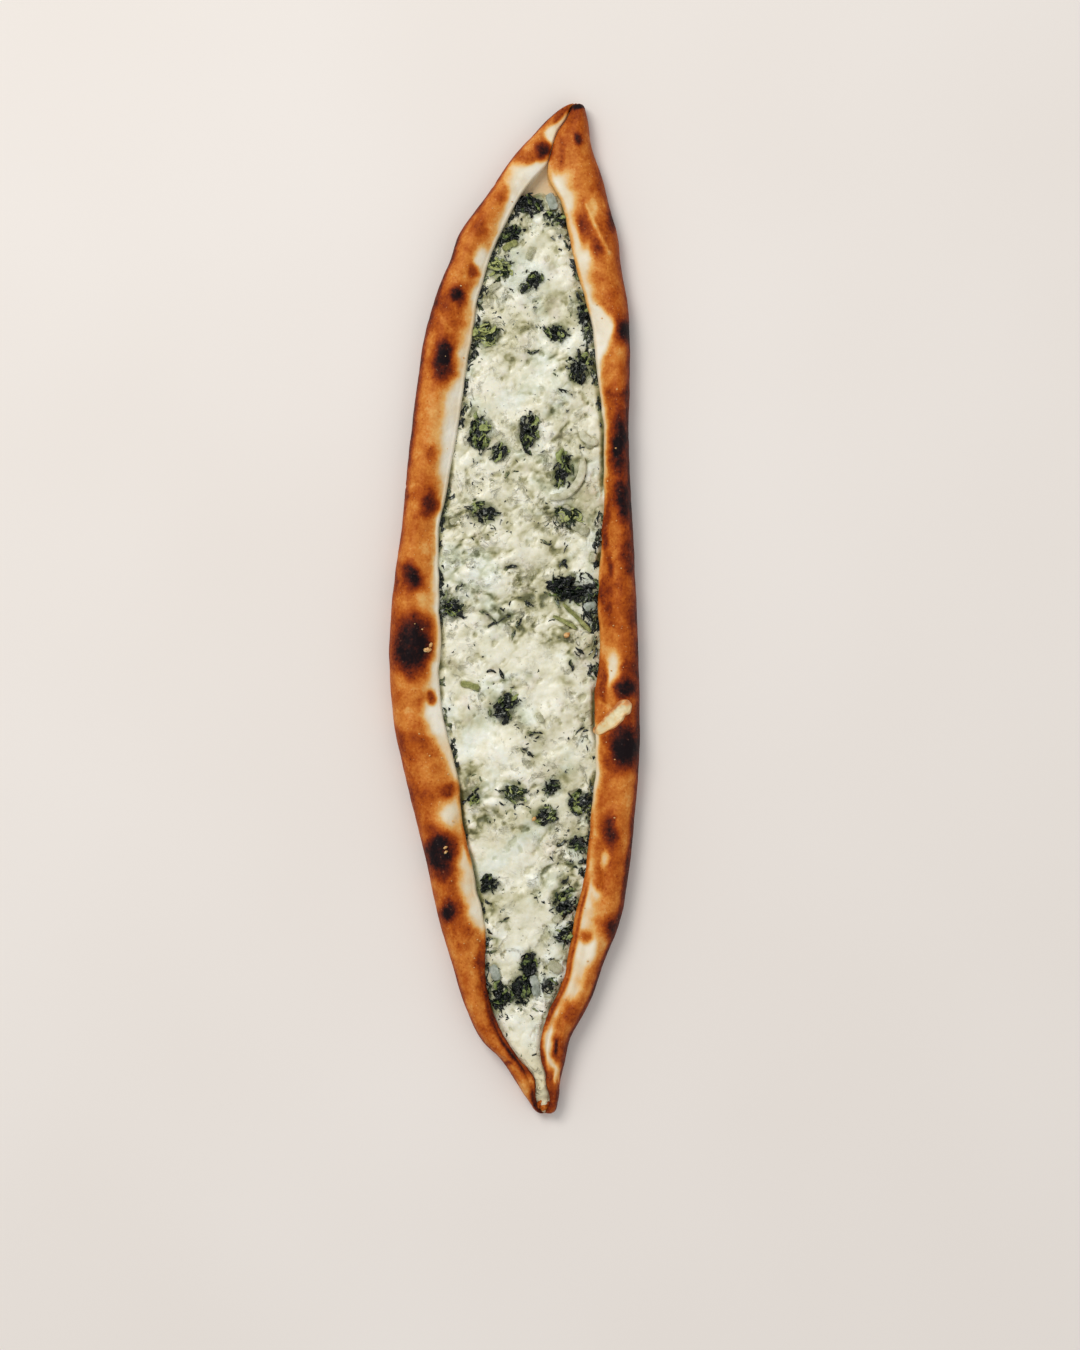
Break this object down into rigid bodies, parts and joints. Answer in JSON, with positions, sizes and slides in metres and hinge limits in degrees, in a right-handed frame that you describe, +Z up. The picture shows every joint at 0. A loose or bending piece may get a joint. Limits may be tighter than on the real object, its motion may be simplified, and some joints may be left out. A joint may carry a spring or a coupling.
{
  "type": "turkish pide",
  "caption": "Long boat-shaped flatbread with folded, scorched rims and pinched ends, filled with curdled white cheese, wilted spinach and onion",
  "frame": {"origin": "middle of the flat underside, on the surface that it rests on", "axes": "+Y along the boat towards the end with the overlapped seam, +Z up, +X towards the right rim"},
  "size_m": [0.119, 0.4792, 0.0189],
  "materials": {
    "dough": "matte",
    "cheese": "satin",
    "spinach": "satin",
    "stalk": "satin",
    "onion": "satin"
  },
  "bodies": {
    "root": {"dough": "dough", "filling": "cheese", "cheese_spill": "cheese", "onion_long_chip": "onion", "onion_ring_slice": "onion", "onion_side_chip": "onion", "onion_small_slice": "onion", "onion_square_chip": "onion", "onion_top_chip": "onion", "spinach_01": "spinach", "spinach_02": "spinach", "spinach_03": "spinach", "spinach_04": "spinach", "spinach_05": "spinach", "spinach_06": "spinach", "spinach_07": "spinach", "spinach_08": "spinach", "spinach_09": "spinach", "spinach_10": "spinach", "spinach_11": "spinach", "spinach_12": "spinach", "spinach_13": "spinach", "spinach_14": "spinach", "spinach_15": "spinach", "spinach_16": "spinach", "spinach_17": "spinach", "spinach_18": "spinach", "spinach_19": "spinach", "spinach_20": "spinach", "spinach_21": "spinach", "spinach_22": "spinach", "spinach_23": "spinach", "spinach_24": "spinach", "spinach_25": "spinach", "spinach_26": "spinach", "spinach_27": "spinach", "spinach_28": "spinach", "spinach_29": "spinach", "spinach_30": "spinach", "spinach_31": "spinach", "stalk_left": "stalk", "stalk_long": "stalk", "stalk_short": "stalk", "stalk_top": "stalk"}
  },
  "joints": []
}
